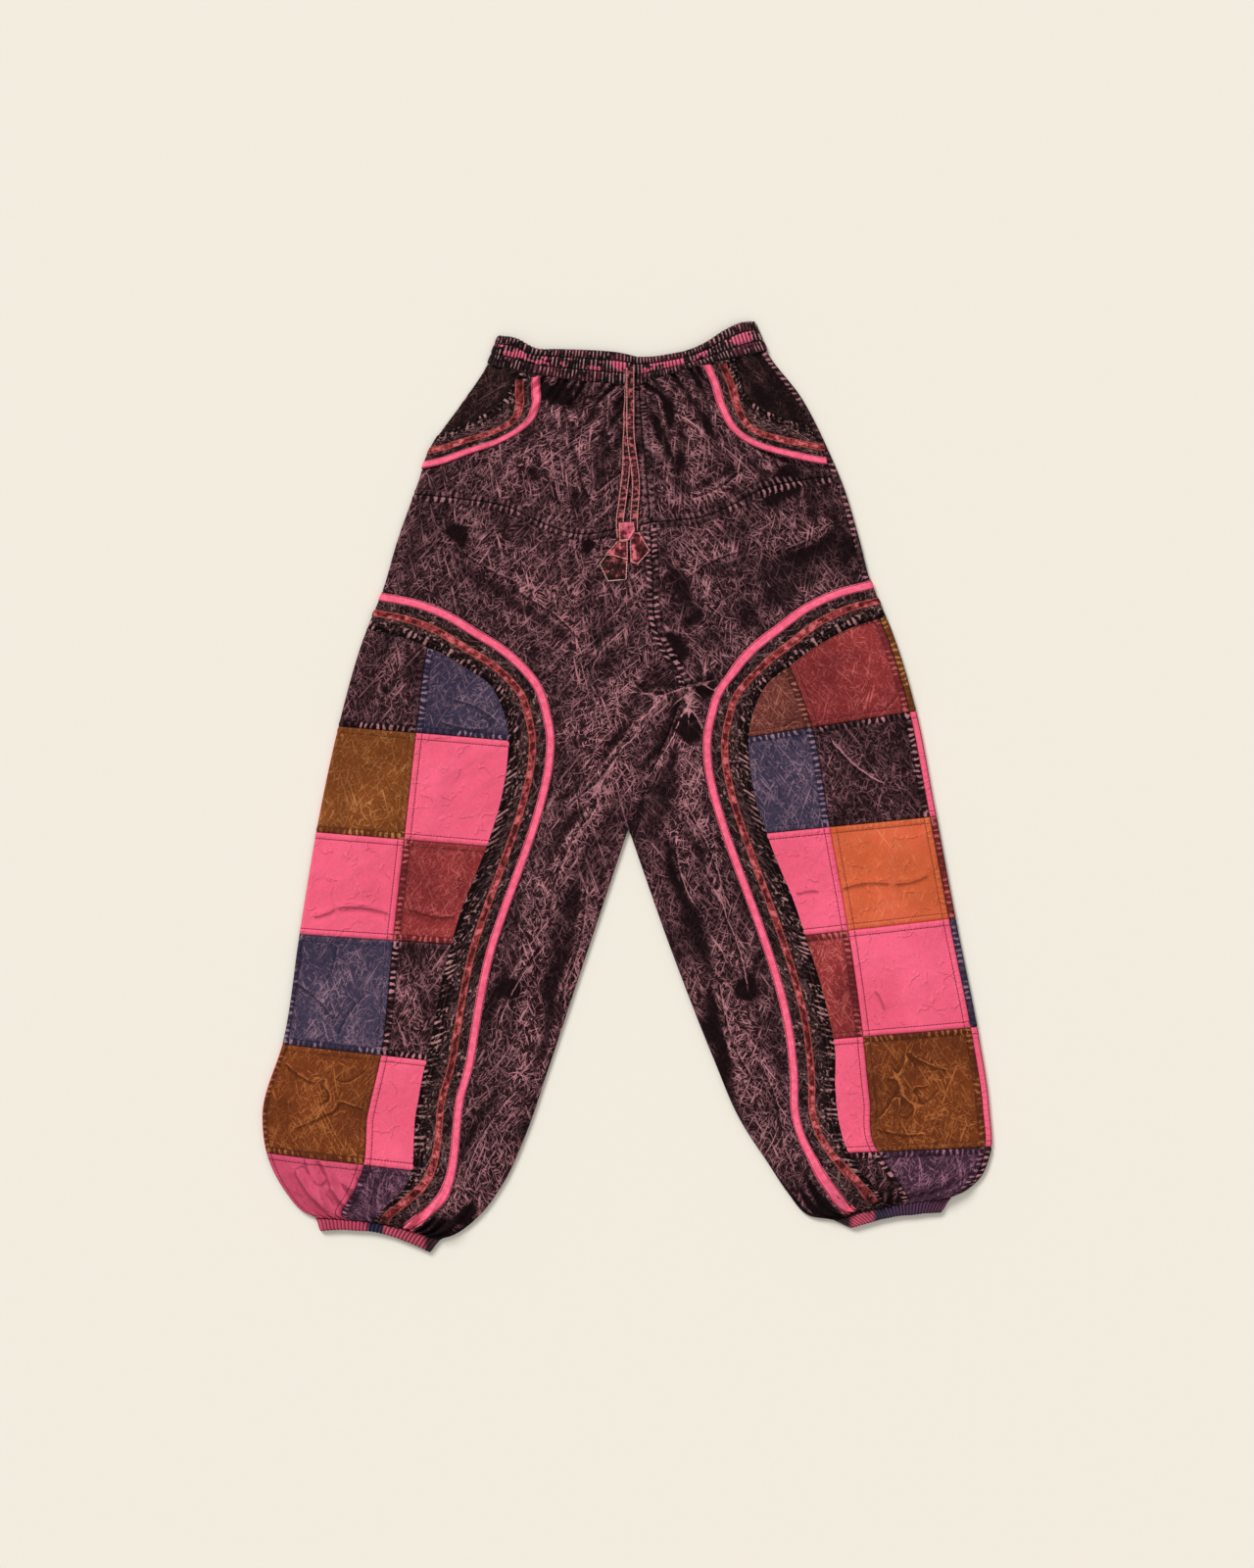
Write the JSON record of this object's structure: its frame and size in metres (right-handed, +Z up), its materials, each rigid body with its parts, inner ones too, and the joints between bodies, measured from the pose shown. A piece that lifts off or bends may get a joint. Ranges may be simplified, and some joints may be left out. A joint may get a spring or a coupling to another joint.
{
  "type": "harem pants",
  "caption": "Wide drop-crotch trousers laid flat, with a gathered elastic waist, patchwork side panels, taped arches and gathered cuffs.",
  "frame": {"origin": "on the surface below the middle of the garment, drawstrings left out", "axes": "+Y towards the waist, +X to the right seen from above, +Z up from the surface"},
  "size_m": [0.7834, 0.9968, 0.0143],
  "materials": {
    "charcoal": "stonewashed crinkled cotton",
    "stained_charcoal": "stonewashed crinkled cotton",
    "pink": "stonewashed cotton",
    "brown": "stonewashed cotton",
    "maroon": "stonewashed cotton",
    "navy": "stonewashed cotton",
    "purple": "stonewashed cotton",
    "orange": "stonewashed cotton",
    "rust": "mottled cotton tape"
  },
  "bodies": {
    "root": {"arch_band_back_left": "stained_charcoal", "arch_band_back_right": "stained_charcoal", "arch_band_front_left": "stained_charcoal", "arch_band_front_right": "stained_charcoal", "arch_pink_left": "pink", "arch_pink_right": "pink", "arch_rust_left": "rust", "arch_rust_right": "rust", "back_leg_left": "charcoal", "back_leg_right": "charcoal", "back_patches_left_1": "brown", "back_patches_left_2": "maroon", "back_patches_left_3": "pink", "back_patches_right_1": "brown", "back_patches_right_2": "maroon", "back_patches_right_3": "pink", "cuff_left": "charcoal", "cuff_right": "charcoal", "drawstring_left": "charcoal", "drawstring_right": "charcoal", "front_leg_left": "charcoal", "front_leg_right": "charcoal", "patch_left_inner_1": "navy", "patch_left_inner_2": "pink", "patch_left_inner_3": "maroon", "patch_left_inner_4": "charcoal", "patch_left_inner_5": "pink", "patch_left_inner_6": "purple", "patch_left_outer_1": "charcoal", "patch_left_outer_2": "brown", "patch_left_outer_3": "pink", "patch_left_outer_4": "navy", "patch_left_outer_5": "brown", "patch_left_outer_6": "pink", "patch_right_inner_1": "brown", "patch_right_inner_2": "navy", "patch_right_inner_3": "pink", "patch_right_inner_4": "maroon", "patch_right_inner_5": "pink", "patch_right_inner_6": "charcoal", "patch_right_outer_1": "maroon", "patch_right_outer_2": "charcoal", "patch_right_outer_3": "orange", "patch_right_outer_4": "pink", "patch_right_outer_5": "brown", "patch_right_outer_6": "purple", "pocket_bag_left": "stained_charcoal", "pocket_bag_right": "stained_charcoal", "pocket_band_left": "stained_charcoal", "pocket_band_right": "stained_charcoal", "pocket_pink_left": "pink", "pocket_pink_right": "pink", "pocket_rust_left": "rust", "pocket_rust_right": "rust", "tab_left": "charcoal", "tab_right": "charcoal", "waistband": "charcoal", "yoke_left": "charcoal", "yoke_right": "charcoal"}
  },
  "joints": []
}
